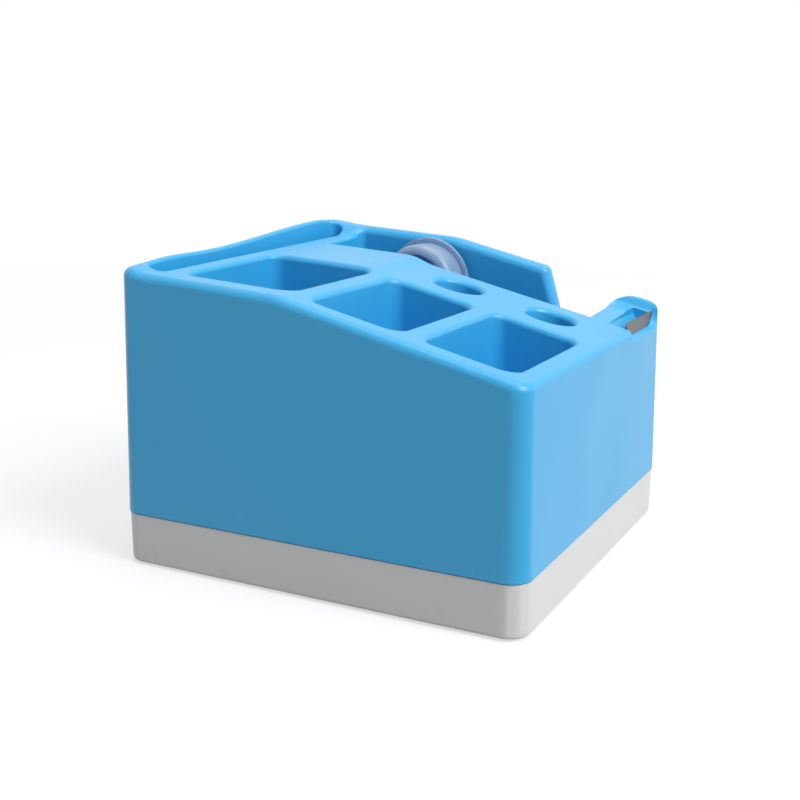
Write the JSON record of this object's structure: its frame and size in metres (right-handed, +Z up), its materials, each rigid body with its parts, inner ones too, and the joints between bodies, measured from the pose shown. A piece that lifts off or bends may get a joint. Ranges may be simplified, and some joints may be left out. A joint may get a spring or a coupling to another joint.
{
  "type": "desk organizer with tape dispenser and drawer",
  "caption": "Desk organizer with a sloped deck of open pockets, pen holes and a note slot, a tape bay with a turning spool and a toothed cutter, on a sliding tray.",
  "frame": {"origin": "centre of the footprint, on the surface that the feet stand on", "axes": "+X to the front, where the cutter is; +Y to the tape side; +Z up"},
  "size_m": [0.12, 0.1168, 0.0887],
  "materials": {
    "body_plastic": "satin moulded, light blue",
    "base_plastic": "moulded, light grey",
    "screw_steel": "zinc plated",
    "ballast_iron": "cast",
    "blade_steel": "brushed strip",
    "runner_plastic": "moulded, light grey",
    "axle_plastic": "moulded, grey lavender",
    "hub_plastic": "slightly clear, grey lavender",
    "tray_plastic": "satin moulded, white",
    "foot_rubber": "soft"
  },
  "bodies": {
    "housing": {"body_shell": "body_plastic", "base_plate": "base_plastic", "base_screw_1": "screw_steel", "base_screw_2": "screw_steel", "base_screw_3": "screw_steel", "base_screw_4": "screw_steel", "ballast_block": "ballast_iron", "cutter_blade": "blade_steel", "runner_near": "runner_plastic", "runner_far": "runner_plastic"},
    "drawer": {"drawer_tray": "tray_plastic", "foot_1": "foot_rubber", "foot_2": "foot_rubber", "foot_3": "foot_rubber", "foot_4": "foot_rubber"},
    "axle": {"spool_axle": "axle_plastic"},
    "hub": {"spool_hub": "hub_plastic"}
  },
  "joints": [
    {"name": "drawer_slide", "type": "slide", "parent": "housing", "child": "drawer", "axis": [1, 0, 0], "range_m": [0, 0.045]},
    {"name": "spool_lift", "type": "slide", "parent": "housing", "child": "axle", "axis": [0, 0, 1], "range_m": [0, 0.04]},
    {"name": "spool_spin", "type": "hinge", "parent": "axle", "child": "hub", "pos_m": [-0.0166, 0.0432, 0.07], "axis": [0, 1, 0], "continuous": true}
  ]
}
